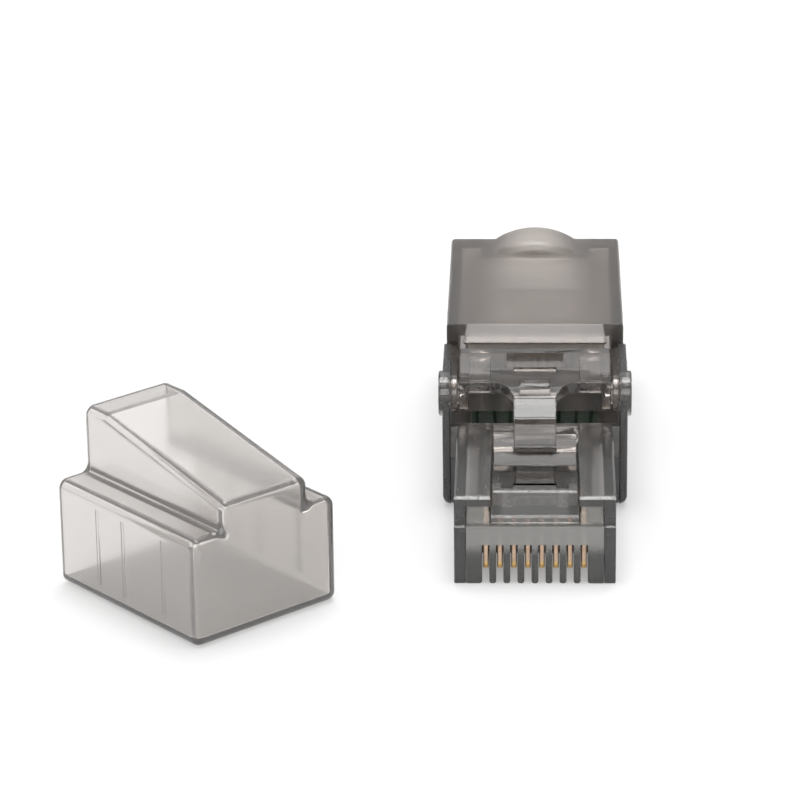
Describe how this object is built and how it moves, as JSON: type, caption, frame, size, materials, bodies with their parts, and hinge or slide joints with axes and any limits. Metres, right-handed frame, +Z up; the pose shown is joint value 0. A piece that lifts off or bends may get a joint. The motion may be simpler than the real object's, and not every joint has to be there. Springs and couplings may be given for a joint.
{
  "type": "rj45 modular plug",
  "caption": "Tool-less modular network plug in smoky clear plastic with latch, release lever, hinged wiring cover and a frosted dust cap beside it.",
  "frame": {"origin": "middle of the nose's front bottom edge, where the plug enters its jack", "axes": "+Y from the nose to the cable, +Z up towards the latch, +X to the right seen from the front"},
  "size_m": [0.0414, 0.0533, 0.0131],
  "materials": {
    "smoky_polycarbonate": "clear moulded",
    "dark_polycarbonate": "clear moulded",
    "board_laminate": "lacquered",
    "gold_plate": "plated",
    "tinned_bronze": "tinned",
    "frosted_cap": "frosted"
  },
  "bodies": {
    "plug": {"housing": "smoky_polycarbonate", "contact_carrier": "smoky_polycarbonate", "circuit_board": "board_laminate", "terminal_block": "dark_polycarbonate", "dust_cap": "frosted_cap", "contact_1": "gold_plate", "contact_2": "gold_plate", "contact_3": "gold_plate", "contact_4": "gold_plate", "contact_5": "gold_plate", "contact_6": "gold_plate", "contact_7": "gold_plate", "contact_8": "gold_plate", "idc_terminal_1": "tinned_bronze", "idc_terminal_2": "tinned_bronze", "idc_terminal_3": "tinned_bronze", "idc_terminal_4": "tinned_bronze", "idc_terminal_5": "tinned_bronze", "idc_terminal_6": "tinned_bronze", "idc_terminal_7": "tinned_bronze", "idc_terminal_8": "tinned_bronze"},
    "latch": {"latch_arm": "smoky_polycarbonate"},
    "lever": {"release_lever": "smoky_polycarbonate"},
    "cover": {"rear_cover": "smoky_polycarbonate", "wire_manager": "dark_polycarbonate"}
  },
  "joints": [
    {"name": "lever_press", "type": "hinge", "parent": "plug", "child": "lever", "pos_m": [0, 0.016, 0.0086], "axis": [1, 0, 0], "range_deg": [0, 12.2]},
    {"name": "latch_press", "type": "hinge", "parent": "plug", "child": "latch", "pos_m": [0, 0.0019, 0.0067], "axis": [1, 0, 0], "range_deg": [-10.5, 0], "stiffness_Nm_per_rad": 0.05},
    {"name": "cover_hinge", "type": "hinge", "parent": "plug", "child": "cover", "pos_m": [0, 0.016, 0.0086], "axis": [1, 0, 0], "range_deg": [0, 95]}
  ],
  "couplings": [
    {"joint": "latch_press", "follows": "lever_press", "ratio": -0.8547}
  ]
}
